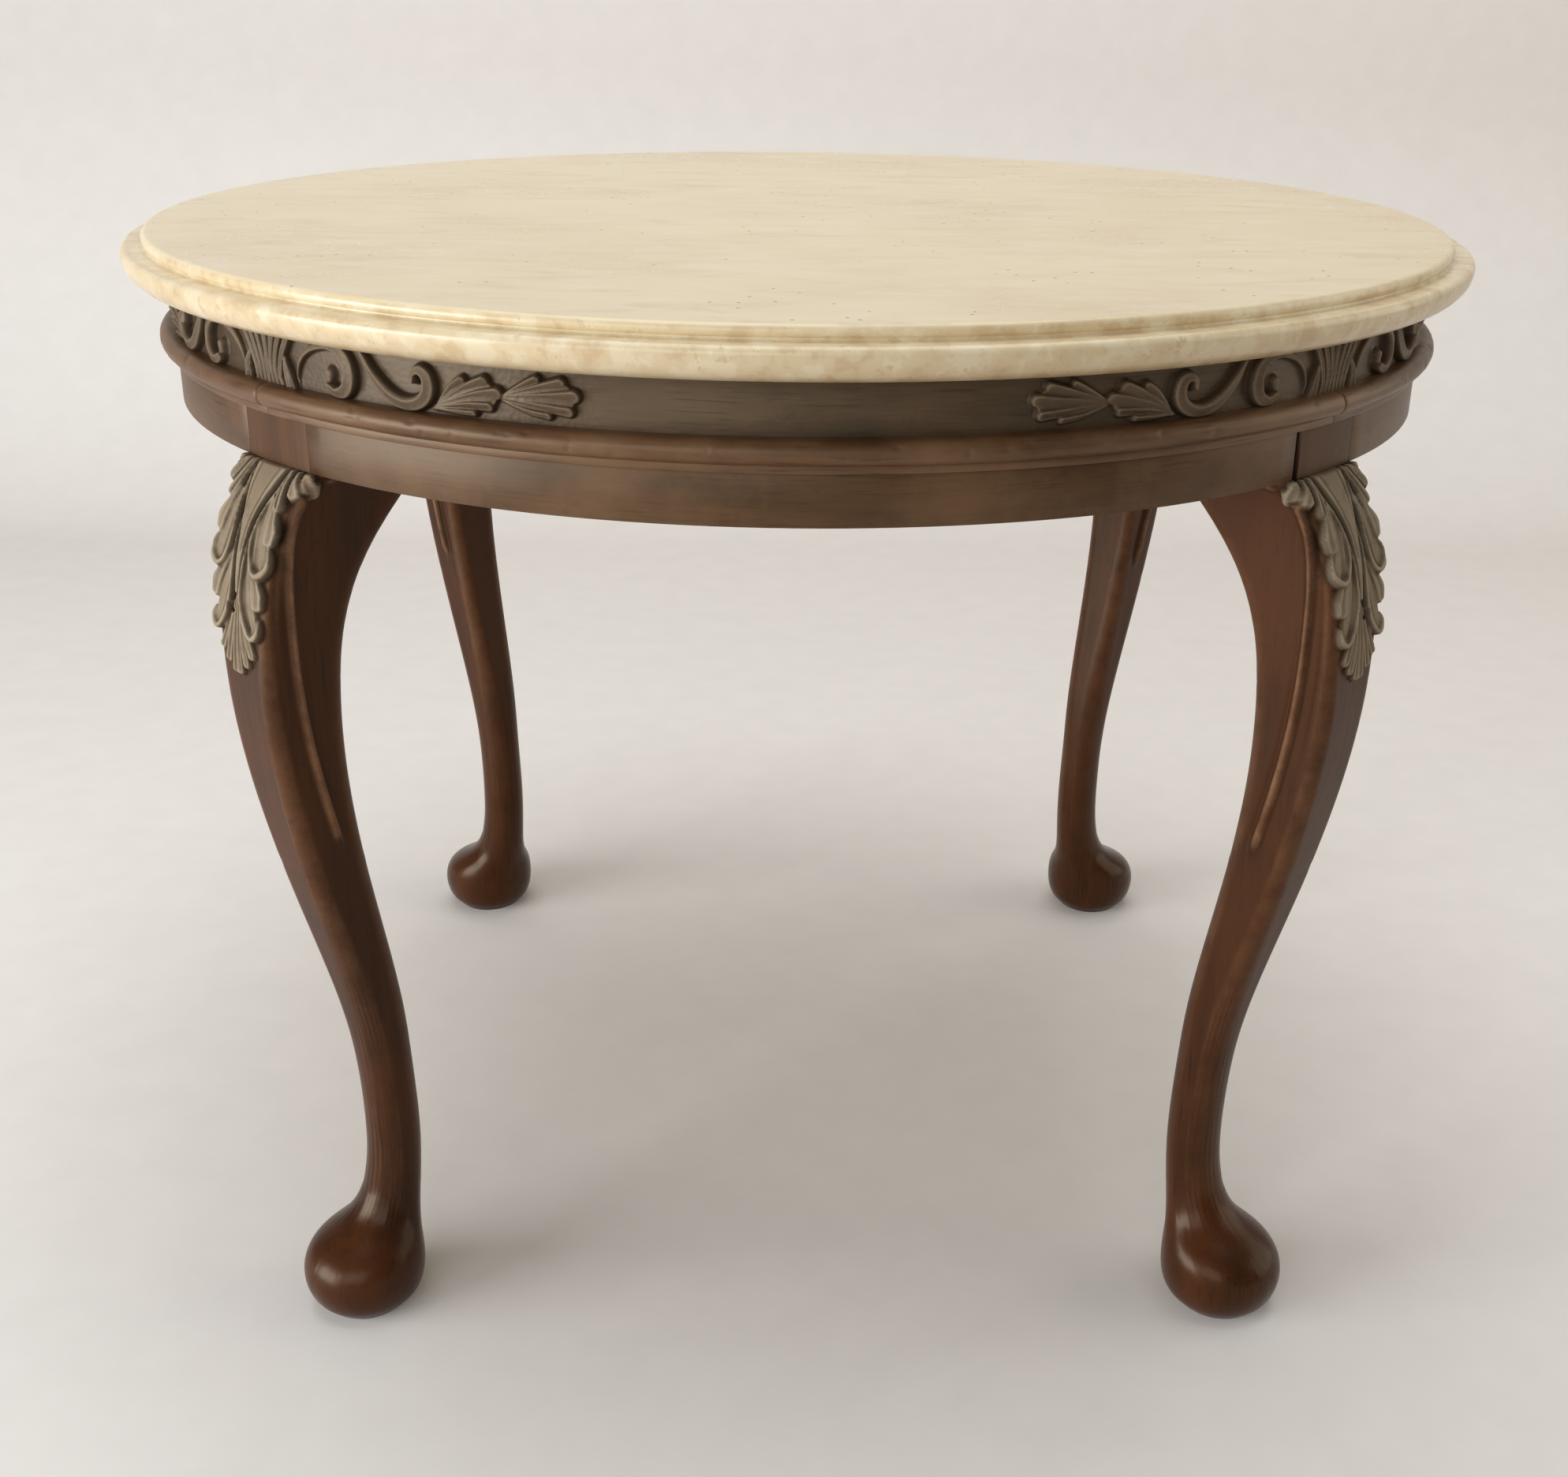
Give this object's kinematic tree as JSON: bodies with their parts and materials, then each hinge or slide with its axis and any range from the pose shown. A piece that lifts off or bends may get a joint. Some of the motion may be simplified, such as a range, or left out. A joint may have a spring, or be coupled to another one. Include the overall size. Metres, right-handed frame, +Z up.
{
  "type": "round occasional table",
  "caption": "Low round table with a loose moulded stone slab on a carved ring apron and cabriole legs with rounded club feet, for holding things beside a seat.",
  "frame": {"origin": "on the floor, under the middle of the slab", "axes": "+Z up; the front faces -Y, with a leg at each corner between the axes"},
  "size_m": [0.6699, 0.67, 0.515],
  "materials": {
    "stone": "polished cream marble",
    "dark_wood": "aged dark walnut with worn polish",
    "block_wood": "unpolished softwood",
    "dowel_wood": "plain beech",
    "screw_steel": "dull steel",
    "felt": "pressed green felt"
  },
  "bodies": {
    "frame": {"bead_back": "dark_wood", "bead_front": "dark_wood", "bead_left": "dark_wood", "bead_right": "dark_wood", "block_screws": "screw_steel", "corner_block_back_left": "block_wood", "corner_block_back_right": "block_wood", "corner_block_front_left": "block_wood", "corner_block_front_right": "block_wood", "fillet_back": "dark_wood", "fillet_front": "dark_wood", "fillet_left": "dark_wood", "fillet_right": "dark_wood", "frieze_back": "dark_wood", "frieze_dowels": "dowel_wood", "frieze_front": "dark_wood", "frieze_left": "dark_wood", "frieze_right": "dark_wood", "leg_back_left": "dark_wood", "leg_back_right": "dark_wood", "leg_front_left": "dark_wood", "leg_front_right": "dark_wood", "rail_back": "dark_wood", "rail_front": "dark_wood", "rail_left": "dark_wood", "rail_right": "dark_wood", "top_pads": "felt"},
    "top": {"stone_top": "stone"}
  },
  "joints": [
    {"name": "top_lift", "type": "slide", "parent": "frame", "child": "top", "axis": [0, 0, 1], "range_m": [0, 0.1]}
  ]
}
